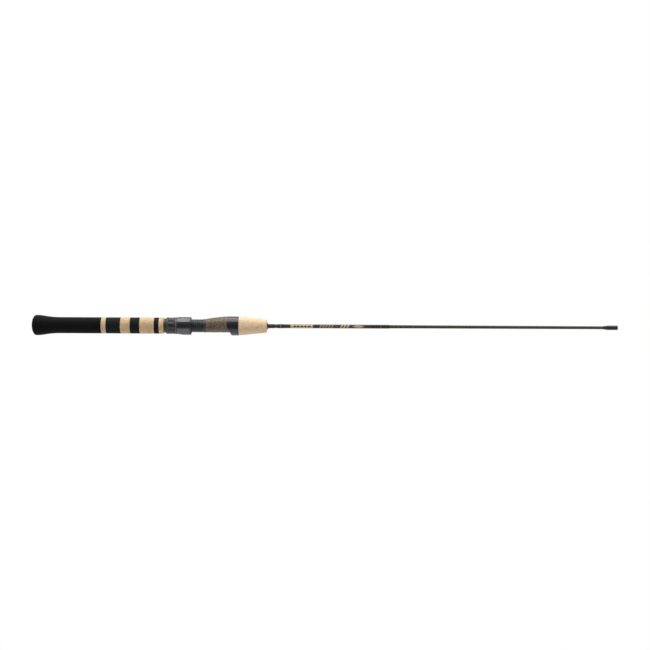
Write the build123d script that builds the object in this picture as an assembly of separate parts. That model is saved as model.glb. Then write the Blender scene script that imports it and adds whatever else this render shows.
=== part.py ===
from build123d import *
import os

# Spinning rod butt section with a plug-in front ferrule.
# +X runs along the rod from the butt to the front end, +Z is up, and the reel hangs on the -Z side.
# The origin is the centre of the butt's flat end. All sizes are in millimetres.

# --- overall layout along the rod -------------------------------------------------------------
ROD_LENGTH = 914.4
BUTT_GRIP_LENGTH = 108.3
RING_PITCH = 7.5
RING_STACK = [
    ("cork_ring_1", 1),
    ("foam_ring_1", 3),
    ("cork_ring_2", 2),
    ("foam_ring_2", 2),
    ("cork_ring_3", 3),
    ("foam_ring_3", 1),
    ("cork_ring_4", 1),
]
FOREGRIP_LENGTH = 43.6
CHECK_LENGTH = 2.3

# --- grip -------------------------------------------------------------------------------------
GRIP_R = 12.6
BUTT_R = 15.87
BUTT_FLAT_R = 4.5
BUTT_DOME_LENGTH = 7.5
BUTT_FLARE_LENGTH = 36.0
DOME_POINTS = [(0.16, 0.665), (0.38, 0.862)]
FLARE_POINT = (0.48, 0.39)
BUTT_WALL = 6.0
RING_EDGE = 0.2
LAST_RING_ROUND = 1.6
FOREGRIP_REAR_STEP = 0.35
FOREGRIP_FRONT_R = 10.4
FOREGRIP_SHOULDER = 2.3
FOREGRIP_ROUND = 1.5
CHECK_FLANGE = 2.95
CHECK_LIP = 0.75

# --- blank: outside diameters where the taper changes, from the butt forwards ---------------------
BLANK_BUTT_D = 7.6
BLANK_GRIP_D = 5.9
BLANK_GRIP_X = 380.0
BLANK_MID_D = 5.27
BLANK_MID_X = 558.0
BLANK_SLIM_D = 4.95
BLANK_SLIM_X = 610.0
BLANK_TIP_D = 4.56
BLANK_WALL = 0.65
SOCKET_WALL = 0.53
SOCKET_LENGTH = 30.0

# --- reel seat barrel and its thread ------------------------------------------------------------
LAND_LENGTH = 3.0
LAND_STEP = 0.5
THREAD_R = 10.4
THREAD_DEPTH = 0.8
THREAD_PITCH = 3.1
THREAD_ROOT_WIDTH = 1.9
THREAD_CREST_WIDTH = 0.9
THREAD_FLANK_GAP = 0.15
THREAD_SUNK = 0.3
THREADED_LENGTH = 58.8
BAND_LENGTH = 4.3
CORE_STEP = 1.4
BARREL_WALL = 2.0
ARBOR_LENGTH = 12.0
ARBOR_PLACES = [0.12, 0.45, 0.86]

# --- lock nut --------------------------------------------------------------------------------
NUT_LENGTH = 17.3
NUT_REAR_WALL = 1.0
NUT_REAR_ROUND = 3.2
NUT_WALL = 1.15
NUT_COLLAR_STEP = 0.3
NUT_COLLAR_LENGTH = 2.6
NUT_COLLAR_GAP = 0.7
NUT_COLLAR_EDGE = 0.35
NUT_RIBS = 12
NUT_FLUTE_DEPTH = 0.6
NUT_FLUTE_R = 13.0
NUT_FLUTE_INSET = 0.2
NECK_WALL = 1.15
NECK_LENGTH = 5.0
RETAINER_PROUD = 0.55
RETAINER_SUNK = 0.6
RETAINER_WIDTH = 0.9
RETAINER_GAP_ANGLE = 50.0
TURNING_GAP = 0.1
END_GAP = 0.1

# --- hoods -----------------------------------------------------------------------------------
HOOD_FLANGE_LENGTH = 1.2
HOOD_FLANGE_STEP = 0.65
HOOD_LENGTH = 20.7
HOOD_RIM_LENGTH = 2.3
HOOD_WALL = 2.9
HOOD_SKIN = 0.9
HOOD_REAR_ROUND = 0.8
BELLY_INSET = 1.9
BELLY_DROP = 2.65
BELLY_REAR_DROP = 1.3
BELLY_RAMP_LENGTH = 7.5
BELLY_SKIN = 0.75
POCKET_ROOF_SKIN = 0.5
POCKET_DEPTH = 12.0
POCKET_RAMP_LENGTH = 5.0
POCKET_END_DROP = 1.2

# --- insert and fixed hood -----------------------------------------------------------------------
INSERT_LENGTH = 32.6
INSERT_REAR_STEP = 0.5
INSERT_WAIST_PLACE = 0.4
INSERT_WAIST_SHARE = 0.52
FIXED_HOOD_LENGTH = 15.5
FIXED_HOOD_CROWN = 0.1
TRIM_RING_LENGTH = 2.7
TRIM_RING_EDGE = 0.4
SADDLE_COVER = 2.0
FOOT_ROOM_DEPTH = 4.65
MOUTH_SETBACK = 4.9
MOUTH_SLOPE = 0.49
FIXED_POCKET_HALF_WIDTH = 8.5
FIXED_POCKET_FLATNESS = 0.55
FIXED_POCKET_HEIGHT = 2.9
FIXED_POCKET_END_HEIGHT = 1.8
FIXED_POCKET_WALL = 2.2

# --- thread wraps, coatings and ferrule ------------------------------------------------------------
WRAP_THICKNESS = 0.3
WRAP_END_ROUND = 0.2
REAR_WRAP_LENGTH = 9.6
BARE_GAP = 4.8
FRONT_WRAP_LENGTH = 10.3
COAT_LENGTH = 138.5
COAT_REAR_THICKNESS = 0.1
COAT_FRONT_THICKNESS = 0.28
END_WRAP_LENGTH = 25.9
SHORT_TRIM_WIDTH = 1.2
LONG_TRIM_WIDTH = 2.0
TRIM_INLAY = 0.15
TRIM_PROUD = 0.03
FERRULE_LENGTH = 23.0
FERRULE_SWELL = 1.22
FERRULE_MOUTH_STEP = 0.085
FERRULE_FOOT_STEP = 0.05
FERRULE_SWELL_LENGTH = 11.0
FERRULE_END_BAND = 2.7
FERRULE_TRIM_WIDTH = 0.7

# --- places that follow from the sizes above ----------------------------------------------------------
STACK_START = BUTT_GRIP_LENGTH
SEAT_START = STACK_START + RING_PITCH * sum(count for _, count in RING_STACK)
LAND_END = SEAT_START + LAND_LENGTH
THREAD_START = LAND_END
THREAD_END = THREAD_START + THREADED_LENGTH
INSERT_START = THREAD_END + BAND_LENGTH
FIXED_HOOD_START = INSERT_START + INSERT_LENGTH
TRIM_RING_START = FIXED_HOOD_START + FIXED_HOOD_LENGTH
SEAT_END = TRIM_RING_START + TRIM_RING_LENGTH
CHECK_START = SEAT_END + FOREGRIP_LENGTH
REAR_WRAP_START = CHECK_START + CHECK_LENGTH
FRONT_WRAP_START = REAR_WRAP_START + REAR_WRAP_LENGTH + BARE_GAP
COAT_START = FRONT_WRAP_START + FRONT_WRAP_LENGTH
END_WRAP_START = COAT_START + COAT_LENGTH
FERRULE_START = ROD_LENGTH - FERRULE_LENGTH

NUT_START = LAND_END + END_GAP
NUT_END = NUT_START + NUT_LENGTH
FLANGE_START = NUT_END + END_GAP
HOOD_START = FLANGE_START + HOOD_FLANGE_LENGTH
HOOD_END = HOOD_START + HOOD_LENGTH
RIM_START = HOOD_END - HOOD_RIM_LENGTH
NECK_START = HOOD_START - HOOD_FLANGE_LENGTH - NECK_LENGTH
RETAINER_START = NECK_START + (NECK_LENGTH - RETAINER_WIDTH) / 2
MOUTH_X = FIXED_HOOD_START + MOUTH_SETBACK

BLANK_STATIONS = [
    (BUTT_WALL, BLANK_BUTT_D / 2),
    (BLANK_GRIP_X, BLANK_GRIP_D / 2),
    (BLANK_MID_X, BLANK_MID_D / 2),
    (BLANK_SLIM_X, BLANK_SLIM_D / 2),
    (ROD_LENGTH, BLANK_TIP_D / 2),
]
THREAD_ROOT_R = THREAD_R - THREAD_DEPTH
LAND_R = THREAD_R + LAND_STEP
CORE_R = THREAD_ROOT_R - CORE_STEP
BARREL_BORE_R = CORE_R - BARREL_WALL
SLIDING_BORE_R = THREAD_R + TURNING_GAP
NECK_R = SLIDING_BORE_R + NECK_WALL
RETAINER_R = NECK_R + RETAINER_PROUD
RETAINER_INNER_R = NECK_R - RETAINER_SUNK
NUT_REAR_R = THREAD_R + NUT_REAR_WALL
NUT_R = NECK_R + TURNING_GAP + NUT_WALL
NUT_COLLAR_R = NUT_R + NUT_COLLAR_STEP
HOOD_FLANGE_R = NECK_R + HOOD_FLANGE_STEP
HOOD_R = SLIDING_BORE_R + HOOD_WALL
BELLY_R = HOOD_R - BELLY_INSET
SADDLE_DEPTH = CORE_R + SADDLE_COVER
FIXED_HOOD_R = SADDLE_DEPTH + FOOT_ROOM_DEPTH
FIXED_POCKET_R = FIXED_HOOD_R + FIXED_POCKET_FLATNESS
INSERT_REAR_R = THREAD_R + INSERT_REAR_STEP
INSERT_FRONT_R = FIXED_HOOD_R - FIXED_HOOD_CROWN
INSERT_WAIST_R = INSERT_REAR_R + INSERT_WAIST_SHARE * (INSERT_FRONT_R - INSERT_REAR_R)
FOREGRIP_REAR_R = FIXED_HOOD_R - FOREGRIP_REAR_STEP
SOCKET_R = BLANK_TIP_D / 2 - SOCKET_WALL
# the saddle's arc meets the fixed hood's round top half at the level of the rod's axis
SADDLE_R = (FIXED_HOOD_R**2 + SADDLE_DEPTH**2) / (2 * SADDLE_DEPTH)
OVERSHOOT = 1.0


# --- shared shapes -----------------------------------------------------------------------------
def blank_radius(x):
    """Outside radius of the tapered blank at a place along the rod."""
    for (x0, r0), (x1, r1) in zip(BLANK_STATIONS, BLANK_STATIONS[1:]):
        if x <= x1:
            return r0 + (r1 - r0) * (x - x0) / (x1 - x0)
    return BLANK_STATIONS[-1][1]


def blank_line(start, end):
    """(x, radius) points of the blank's surface between two places, with its taper changes."""
    between = [(x, r) for x, r in BLANK_STATIONS if start < x < end]
    return [(start, blank_radius(start))] + between + [(end, blank_radius(end))]


def turned(*edges):
    """Solid of revolution about the rod's axis from the edges of a closed (x, radius) outline."""
    return revolve(make_face(Curve() + list(edges)), axis=Axis.X)


def ring(outline):
    """Solid of revolution from a closed list of (x, radius) points with straight sides."""
    return turned(Polyline(*outline, close=True))


def cylinder(start, end, radius, drop=0.0):
    """Round bar along the rod, with its axis a distance below the rod's axis."""
    face = Plane(origin=(start, 0, -drop), z_dir=(1, 0, 0)) * Circle(radius)
    return extrude(face, end - start)


def sloping_bar(start, end, radius, start_drop, end_drop):
    """Round bar whose axis sinks from one drop to another between two places."""
    first = Plane(origin=(start, 0, -start_drop), z_dir=(1, 0, 0)) * Circle(radius)
    last = Plane(origin=(end, 0, -end_drop), z_dir=(1, 0, 0)) * Circle(radius)
    return loft([first, last], ruled=True)


def on_blank(start, end, outer):
    """Turned piece glued on the blank, from its outer (x, radius) points, rear to front."""
    return ring(outer + blank_line(start, end)[::-1])


def helical_ridge(start, turns, base_r, tip_r, base_width, tip_width):
    """Right-hand thread ridge about the rod's axis, from its base radius to its tip radius."""
    path = Helix(THREAD_PITCH, turns * THREAD_PITCH, base_r, center=(start, 0, 0), direction=(1, 0, 0))
    foot = path @ 0
    outward = Vector(0, foot.Y, foot.Z).normalized()
    plane = Plane(origin=foot, x_dir=outward, z_dir=path % 0)
    height = tip_r - base_r
    outline = Polyline(
        (0, -base_width / 2),
        (height, -tip_width / 2),
        (height, tip_width / 2),
        (0, base_width / 2),
        close=True,
    )
    return sweep(plane * make_face(outline), path=path, is_frenet=True)


# --- grip pieces ---------------------------------------------------------------------------------
def butt_grip():
    """Flared foam butt grip with a domed, closed end."""
    flare_end = BUTT_DOME_LENGTH + BUTT_FLARE_LENGTH
    dome = Spline(
        (0, BUTT_FLAT_R),
        *[(along * BUTT_DOME_LENGTH, share * BUTT_R) for along, share in DOME_POINTS],
        (BUTT_DOME_LENGTH, BUTT_R),
        tangents=[(0, 1), (1, 0)],
    )
    along, share = FLARE_POINT
    flare = Spline(
        (BUTT_DOME_LENGTH, BUTT_R),
        (BUTT_DOME_LENGTH + along * BUTT_FLARE_LENGTH, GRIP_R + share * (BUTT_R - GRIP_R)),
        (flare_end, GRIP_R),
        tangents=[(1, 0), (1, 0)],
    )
    inner = blank_line(BUTT_WALL, BUTT_GRIP_LENGTH)[::-1]
    rest = Polyline(
        (flare_end, GRIP_R),
        (BUTT_GRIP_LENGTH, GRIP_R),
        *inner,
        (BUTT_WALL, 0),
        (0, 0),
        (0, BUTT_FLAT_R),
    )
    return turned(dome, flare, rest)


def stack_ring(start, end, front_round):
    """One disc of the ring stack, with its edges eased or its front edge rounded."""
    edge = RING_EDGE
    rear = Line((start + edge, GRIP_R), (end - front_round, GRIP_R))
    front = CenterArc((end - front_round, GRIP_R - front_round), front_round, 90, -90)
    rest = Polyline(
        (end, GRIP_R - front_round),
        *blank_line(start, end)[::-1],
        (start, GRIP_R - edge),
        (start + edge, GRIP_R),
    )
    return turned(rear, front, rest)


def stack_rings():
    """Every disc of the ring stack by name, from the butt grip to the reel seat."""
    made = {}
    start = STACK_START
    for name, count in RING_STACK:
        end = start + count * RING_PITCH
        last = name == RING_STACK[-1][0]
        made[name] = stack_ring(start, end, LAST_RING_ROUND if last else RING_EDGE)
        start = end
    return made


def foregrip():
    """Tapered cork foregrip with a short straight shoulder against the seat."""
    start = SEAT_END
    end = CHECK_START
    shoulder = start + FOREGRIP_SHOULDER
    blunt = end - FOREGRIP_ROUND
    fall = (FOREGRIP_REAR_R - FOREGRIP_FRONT_R) * (blunt - shoulder) / (end - shoulder)
    nose_r = FOREGRIP_REAR_R - fall
    taper = Polyline((start, FOREGRIP_REAR_R), (shoulder, FOREGRIP_REAR_R), (blunt, nose_r))
    nose = ThreePointArc(
        (blunt, nose_r),
        (blunt + 0.75 * FOREGRIP_ROUND, nose_r - 0.4 * FOREGRIP_ROUND),
        (end, nose_r - FOREGRIP_ROUND),
    )
    rest = Polyline(
        (end, nose_r - FOREGRIP_ROUND),
        *blank_line(start, end)[::-1],
        (start, FOREGRIP_REAR_R),
    )
    return turned(taper, nose, rest)


# --- reel seat -----------------------------------------------------------------------------------
def seat_barrel():
    """Moulded tube that carries the seat: rear land, right-hand thread, plain band and front core."""
    body = ring(
        [
            (SEAT_START, BARREL_BORE_R),
            (SEAT_START, LAND_R),
            (LAND_END, LAND_R),
            (LAND_END, THREAD_ROOT_R),
            (THREAD_END, THREAD_ROOT_R),
            (THREAD_END, THREAD_R),
            (INSERT_START, THREAD_R),
            (INSERT_START, CORE_R),
            (SEAT_END, CORE_R),
            (SEAT_END, BARREL_BORE_R),
        ]
    )
    slope = (THREAD_ROOT_WIDTH - THREAD_CREST_WIDTH) / THREAD_DEPTH
    base_width = THREAD_ROOT_WIDTH + slope * THREAD_SUNK
    first_turn = THREAD_START + THREAD_PITCH / 2
    last_turn = THREAD_END - END_GAP - base_width / 2
    thread = helical_ridge(
        first_turn,
        (last_turn - first_turn) / THREAD_PITCH,
        THREAD_ROOT_R - THREAD_SUNK,
        THREAD_R,
        base_width,
        THREAD_CREST_WIDTH,
    )
    return body + thread


def seat_arbors():
    """Bushes that centre the seat barrel on the blank."""
    made = {}
    travel = SEAT_END - SEAT_START - ARBOR_LENGTH
    for number, place in enumerate(ARBOR_PLACES, start=1):
        start = SEAT_START + place * travel
        end = start + ARBOR_LENGTH
        made[f"seat_arbor_{number}"] = on_blank(start, end, [(start, BARREL_BORE_R), (end, BARREL_BORE_R)])
    return made


def nut_blank():
    """Lock nut's turned body: rounded rear, gripping zone, step and smooth front collar."""
    collar_start = NUT_END - NUT_COLLAR_LENGTH
    grip_end = collar_start - NUT_COLLAR_GAP
    shoulder = NUT_START + NUT_REAR_ROUND
    neck_bore_r = NECK_R + TURNING_GAP
    edge = NUT_COLLAR_EDGE
    counterbore = NECK_START - END_GAP
    groove_start = RETAINER_START - 2 * END_GAP
    groove_end = RETAINER_START + RETAINER_WIDTH + 2 * END_GAP
    rear = Spline((NUT_START, NUT_REAR_R), (shoulder, NUT_R), tangents=[(0.4, 1), (1, 0)])
    rest = Polyline(
        (shoulder, NUT_R),
        (grip_end, NUT_R),
        (grip_end, NUT_R - NUT_FLUTE_DEPTH),
        (collar_start, NUT_R - NUT_FLUTE_DEPTH),
        (collar_start, NUT_COLLAR_R - edge),
        (collar_start + edge, NUT_COLLAR_R),
        (NUT_END - edge, NUT_COLLAR_R),
        (NUT_END, NUT_COLLAR_R - edge),
        (NUT_END, neck_bore_r),
        (groove_end, neck_bore_r),
        (groove_end, RETAINER_R + TURNING_GAP),
        (groove_start, RETAINER_R + TURNING_GAP),
        (groove_start, neck_bore_r),
        (counterbore, neck_bore_r),
        (counterbore, SLIDING_BORE_R),
        (NUT_START, SLIDING_BORE_R),
        (NUT_START, NUT_REAR_R),
    )
    return turned(rear, rest)


def flute_cutter(angle):
    """Bar with tapered ends that cuts one finger flute of the nut."""
    start = NUT_START + NUT_REAR_ROUND + NUT_FLUTE_INSET
    end = NUT_END - NUT_COLLAR_LENGTH - NUT_COLLAR_GAP - NUT_FLUTE_INSET
    slope = 1.5 * NUT_FLUTE_DEPTH
    bar = ring(
        [
            (start, 0),
            (start, NUT_FLUTE_R - slope),
            (start + slope, NUT_FLUTE_R),
            (end - slope, NUT_FLUTE_R),
            (end, NUT_FLUTE_R - slope),
            (end, 0),
        ]
    )
    return Rot(angle, 0, 0) * Pos(0, 0, NUT_R - NUT_FLUTE_DEPTH + NUT_FLUTE_R) * bar


def lock_nut():
    """Ribbed lock nut with an inner thread that runs in the barrel's thread."""
    body = nut_blank()
    step = 360 / NUT_RIBS
    cutters = [flute_cutter(step * n) for n in range(NUT_RIBS)]
    body = body - cutters
    inner_base_r = SLIDING_BORE_R + THREAD_SUNK
    inner_tip_r = THREAD_ROOT_R + TURNING_GAP
    slope = (THREAD_ROOT_WIDTH - THREAD_CREST_WIDTH) / THREAD_DEPTH
    room_at_tip = THREAD_PITCH - THREAD_ROOT_WIDTH + slope * TURNING_GAP
    tip_width = room_at_tip - 2 * THREAD_FLANK_GAP
    base_width = tip_width + slope * (inner_base_r - inner_tip_r)
    first_turn = THREAD_START + THREAD_PITCH
    last_turn = NECK_START - END_GAP - base_width
    thread = helical_ridge(
        first_turn,
        (last_turn - first_turn) / THREAD_PITCH,
        inner_base_r,
        inner_tip_r,
        base_width,
        tip_width,
    )
    return body + thread


def nut_retainer():
    """Split wire ring that holds the nut on the sliding hood's neck."""
    end = RETAINER_START + RETAINER_WIDTH
    full = ring(
        [
            (RETAINER_START, RETAINER_INNER_R),
            (RETAINER_START, RETAINER_R),
            (end, RETAINER_R),
            (end, RETAINER_INNER_R),
        ]
    )
    reach = 2 * RETAINER_R
    corner = Vector(0, reach, 0).rotate(Axis.X, RETAINER_GAP_ANGLE)
    wedge = make_face(Polyline((0, 0, 0), (0, reach, 0), corner, close=True))
    gap = Pos(RETAINER_START - OVERSHOOT, 0, 0) * extrude(wedge, RETAINER_WIDTH + 2 * OVERSHOOT, dir=(1, 0, 0))
    return full - gap


def hood_envelope(start, end, radius, belly_r):
    """Round hood body with a fuller belly on the reel side, which a foot slides under."""
    ramp_end = HOOD_START + BELLY_RAMP_LENGTH
    ramp = sloping_bar(HOOD_START, ramp_end, belly_r, BELLY_REAR_DROP, BELLY_DROP)
    belly = ramp + cylinder(ramp_end, HOOD_END, belly_r, BELLY_DROP)
    trimmed = (cylinder(HOOD_START, HOOD_END, radius) + belly) & cylinder(start, end, 2 * radius)
    return trimmed


def sliding_hood():
    """Metal skin of the sliding hood."""
    outer = hood_envelope(HOOD_START, RIM_START, HOOD_R, BELLY_R)
    rear_edges = outer.faces().sort_by(Axis.X)[0].edges()
    outer = fillet(rear_edges, HOOD_REAR_ROUND / 2)
    inner = hood_envelope(HOOD_START, HOOD_END, HOOD_R - HOOD_SKIN, BELLY_R - BELLY_SKIN)
    return outer - inner


def hood_pocket():
    """Crescent-shaped pocket under the sliding hood's belly for the rear end of the reel foot."""
    rear = HOOD_END - POCKET_DEPTH
    ramp_end = rear + POCKET_RAMP_LENGTH
    radius = BELLY_R - BELLY_SKIN - POCKET_ROOF_SKIN
    ramp = sloping_bar(rear, ramp_end, radius, POCKET_END_DROP, BELLY_DROP)
    return ramp + cylinder(ramp_end, HOOD_END + OVERSHOOT, radius, BELLY_DROP)


def sliding_hood_liner():
    """Plastic liner: neck for the nut, flange, slide bore, foot pocket and the proud front rim."""
    inside = hood_envelope(HOOD_START, RIM_START, HOOD_R - HOOD_SKIN, BELLY_R - BELLY_SKIN)
    rim = hood_envelope(RIM_START, HOOD_END, HOOD_R, BELLY_R)
    rim_edges = rim.faces().sort_by(Axis.X)[-1].edges()
    rim = fillet(rim_edges, HOOD_REAR_ROUND)
    ring_end = RETAINER_START + RETAINER_WIDTH
    neck = ring(
        [
            (NECK_START, SLIDING_BORE_R),
            (NECK_START, NECK_R),
            (RETAINER_START, NECK_R),
            (RETAINER_START, RETAINER_INNER_R),
            (ring_end, RETAINER_INNER_R),
            (ring_end, NECK_R),
            (FLANGE_START, NECK_R),
            (FLANGE_START, HOOD_FLANGE_R),
            (HOOD_START, HOOD_FLANGE_R),
            (HOOD_START, SLIDING_BORE_R),
        ]
    )
    bore = cylinder(HOOD_START - OVERSHOOT, HOOD_END + OVERSHOOT, SLIDING_BORE_R)
    return neck + (inside + rim - bore - hood_pocket())


def saddle_bar(start, end):
    """Round bar whose lowest line is the saddle that the reel foot lies on."""
    return cylinder(start, end, SADDLE_R, SADDLE_DEPTH - SADDLE_R)


def foot_room():
    """Room under the insert and the fixed hood's rear for the reel foot, up to the slanted mouth."""
    rear = INSERT_START - OVERSHOOT
    deep = 2 * FIXED_HOOD_R
    outline = Polyline(
        (rear, 0, 0),
        (MOUTH_X - MOUTH_SLOPE * SADDLE_DEPTH, 0, 0),
        (MOUTH_X + MOUTH_SLOPE * (deep - SADDLE_DEPTH), 0, -deep),
        (rear, 0, -deep),
        close=True,
    )
    slab = extrude(make_face(outline), deep, dir=(0, 1, 0), both=True)
    return slab - saddle_bar(rear - OVERSHOOT, SEAT_END)


def burl_insert():
    """Burl-cork insert that swells from the barrel to the fixed hood, with the foot saddle below."""
    middle = INSERT_START + INSERT_WAIST_PLACE * INSERT_LENGTH
    top = Spline(
        (INSERT_START, INSERT_REAR_R),
        (middle, INSERT_WAIST_R),
        (FIXED_HOOD_START, INSERT_FRONT_R),
    )
    rest = Polyline(
        (FIXED_HOOD_START, INSERT_FRONT_R),
        (FIXED_HOOD_START, CORE_R),
        (INSERT_START, CORE_R),
        (INSERT_START, INSERT_REAR_R),
    )
    return turned(top, rest) - foot_room()


def fixed_hood():
    """Glossy fixed hood: foot channel at the rear, then the pocket that takes the foot's front end."""
    middle = (FIXED_HOOD_START + TRIM_RING_START) / 2
    crown = ThreePointArc(
        (FIXED_HOOD_START, INSERT_FRONT_R),
        (middle, FIXED_HOOD_R),
        (TRIM_RING_START, INSERT_FRONT_R),
    )
    rest = Polyline(
        (TRIM_RING_START, INSERT_FRONT_R),
        (TRIM_RING_START, CORE_R),
        (FIXED_HOOD_START, CORE_R),
        (FIXED_HOOD_START, INSERT_FRONT_R),
    )
    body = turned(crown, rest) - foot_room()
    pocket_end = TRIM_RING_START - FIXED_POCKET_WALL
    pocket_length = pocket_end - FIXED_HOOD_START
    mouth_drop = SADDLE_DEPTH + FIXED_POCKET_HEIGHT - FIXED_POCKET_R
    end_drop = SADDLE_DEPTH + FIXED_POCKET_END_HEIGHT - FIXED_POCKET_R
    roof = sloping_bar(FIXED_HOOD_START, pocket_end, FIXED_POCKET_R, mouth_drop, end_drop)
    width = Pos(FIXED_HOOD_START + pocket_length / 2, 0, -FIXED_HOOD_R) * Box(
        pocket_length, 2 * FIXED_POCKET_HALF_WIDTH, 2 * FIXED_HOOD_R
    )
    pocket = (roof & width) - saddle_bar(FIXED_HOOD_START - OVERSHOOT, SEAT_END)
    return body - pocket


def hood_trim_ring():
    """Dark ring that closes the front of the fixed hood."""
    edge = TRIM_RING_EDGE
    return ring(
        [
            (TRIM_RING_START, CORE_R),
            (TRIM_RING_START, FIXED_HOOD_R - edge / 2),
            (TRIM_RING_START + edge / 2, FIXED_HOOD_R),
            (SEAT_END - edge, FIXED_HOOD_R),
            (SEAT_END, FIXED_HOOD_R - edge),
            (SEAT_END, CORE_R),
        ]
    )


# --- blank and what is wound or coated on it -----------------------------------------------------------
def blank():
    """Hollow tapered blank with a parallel socket bored in its front end."""
    socket_start = ROD_LENGTH - SOCKET_LENGTH
    outer = blank_line(BUTT_WALL, ROD_LENGTH)
    hollow = [(x, r - BLANK_WALL) for x, r in blank_line(BUTT_WALL, socket_start)]
    socket = [(socket_start, SOCKET_R), (ROD_LENGTH, SOCKET_R)]
    return ring(outer + socket[::-1] + hollow[::-1])


def winding_check():
    """Small tapered collar that finishes the front of the foregrip."""
    end = CHECK_START + CHECK_LENGTH
    rear_r = blank_radius(CHECK_START) + CHECK_FLANGE
    front_r = blank_radius(end) + CHECK_LIP
    outer = [
        (CHECK_START, rear_r),
        (CHECK_START + CHECK_LENGTH / 4, rear_r - CHECK_LENGTH / 16),
        (end - CHECK_LENGTH / 8, front_r + CHECK_LENGTH / 8),
        (end, front_r),
    ]
    return on_blank(CHECK_START, end, outer)


def wrap_and_trim(start, end, trim_width, outer_start_r, outer_end_r):
    """Thread wrap with eased ends and a groove at its middle, and the trim band laid in the groove."""
    middle = (start + end) / 2
    groove_start = middle - trim_width / 2
    groove_end = middle + trim_width / 2

    def outer_r(x):
        """Radius of the wrap's surface at a place along it."""
        return outer_start_r + (outer_end_r - outer_start_r) * (x - start) / (end - start)

    ease = WRAP_END_ROUND
    outer = [
        (start, outer_r(start) - ease),
        (start + 0.4 * ease, outer_r(start) - 0.4 * ease),
        (start + 1.4 * ease, outer_r(start)),
        (groove_start, outer_r(groove_start)),
        (groove_start, outer_r(groove_start) - TRIM_INLAY),
        (groove_end, outer_r(groove_end) - TRIM_INLAY),
        (groove_end, outer_r(groove_end)),
        (end - 1.4 * ease, outer_r(end)),
        (end - 0.4 * ease, outer_r(end) - 0.4 * ease),
        (end, outer_r(end) - ease),
    ]
    wrap = on_blank(start, end, outer)
    band = ring(
        [
            (groove_start, outer_r(groove_start) - TRIM_INLAY),
            (groove_start, outer_r(groove_start)),
            (groove_start + TRIM_PROUD, outer_r(groove_start) + TRIM_PROUD),
            (groove_end - TRIM_PROUD, outer_r(groove_end) + TRIM_PROUD),
            (groove_end, outer_r(groove_end)),
            (groove_end, outer_r(groove_end) - TRIM_INLAY),
        ]
    )
    return wrap, band


def wraps():
    """The two short wraps ahead of the foregrip and the long one that ends the coated length."""
    made = {}
    rear_end = REAR_WRAP_START + REAR_WRAP_LENGTH
    rear_r = blank_radius(REAR_WRAP_START) + WRAP_THICKNESS
    made["thread_wrap_1"], made["trim_band_1"] = wrap_and_trim(
        REAR_WRAP_START, rear_end, SHORT_TRIM_WIDTH, rear_r, rear_r
    )
    front_r = blank_radius(FRONT_WRAP_START) + WRAP_THICKNESS
    made["thread_wrap_2"], made["trim_band_2"] = wrap_and_trim(
        FRONT_WRAP_START, COAT_START, SHORT_TRIM_WIDTH, front_r, front_r
    )
    end_r = blank_radius(END_WRAP_START) + WRAP_THICKNESS
    made["thread_wrap_3"], made["trim_band_3"] = wrap_and_trim(
        END_WRAP_START, END_WRAP_START + END_WRAP_LENGTH, LONG_TRIM_WIDTH, end_r, end_r
    )
    return made


def label_coat():
    """Clear-coated length of the blank between the wraps, slightly thicker than the bare blank."""
    rear_r = blank_radius(COAT_START) + COAT_REAR_THICKNESS
    front_r = blank_radius(END_WRAP_START) + COAT_FRONT_THICKNESS
    return on_blank(COAT_START, END_WRAP_START, [(COAT_START, rear_r), (END_WRAP_START, front_r)])


def ferrule_parts():
    """Epoxy-covered wrap that swells over the socket, its trim line and the band at its mouth."""
    band_start = ROD_LENGTH - FERRULE_END_BAND
    trim_start = band_start - FERRULE_TRIM_WIDTH
    swell_end = FERRULE_START + FERRULE_SWELL_LENGTH
    foot_r = blank_radius(FERRULE_START) + FERRULE_FOOT_STEP
    swell_r = blank_radius(FERRULE_START) + FERRULE_SWELL
    mouth_r = swell_r - FERRULE_MOUTH_STEP
    swell = Spline(
        (FERRULE_START, foot_r),
        (FERRULE_START + 0.28 * FERRULE_SWELL_LENGTH, foot_r + 0.46 * (swell_r - foot_r)),
        (FERRULE_START + 0.55 * FERRULE_SWELL_LENGTH, foot_r + 0.78 * (swell_r - foot_r)),
        (swell_end, swell_r),
        tangents=[(1, 0.35), (1, 0)],
    )
    rest = Polyline(
        (swell_end, swell_r),
        (trim_start, mouth_r),
        *blank_line(FERRULE_START, trim_start)[::-1],
        (FERRULE_START, foot_r),
    )
    trim = on_blank(
        trim_start,
        band_start,
        [
            (trim_start, mouth_r),
            (trim_start + TRIM_PROUD, mouth_r + TRIM_PROUD),
            (band_start - TRIM_PROUD, mouth_r + TRIM_PROUD),
            (band_start, mouth_r),
        ],
    )
    band = on_blank(
        band_start,
        ROD_LENGTH,
        [
            (band_start, mouth_r),
            (ROD_LENGTH - WRAP_END_ROUND, mouth_r),
            (ROD_LENGTH, mouth_r - WRAP_END_ROUND),
        ],
    )
    return {"ferrule_wrap": turned(swell, rest), "ferrule_trim": trim, "ferrule_end_band": band}


# --- the whole rod ----------------------------------------------------------------------------------
def rod_parts():
    """Every separate piece of the rod by name."""
    parts = {"butt_grip": butt_grip()}
    parts.update(stack_rings())
    parts["foregrip"] = foregrip()
    parts["seat_barrel"] = seat_barrel()
    parts.update(seat_arbors())
    parts["lock_nut"] = lock_nut()
    parts["nut_retainer"] = nut_retainer()
    parts["sliding_hood"] = sliding_hood()
    parts["sliding_hood_liner"] = sliding_hood_liner()
    parts["burl_insert"] = burl_insert()
    parts["fixed_hood"] = fixed_hood()
    parts["hood_trim_ring"] = hood_trim_ring()
    parts["blank"] = blank()
    parts["winding_check"] = winding_check()
    parts.update(wraps())
    parts["label_coat"] = label_coat()
    parts.update(ferrule_parts())
    return parts


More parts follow.
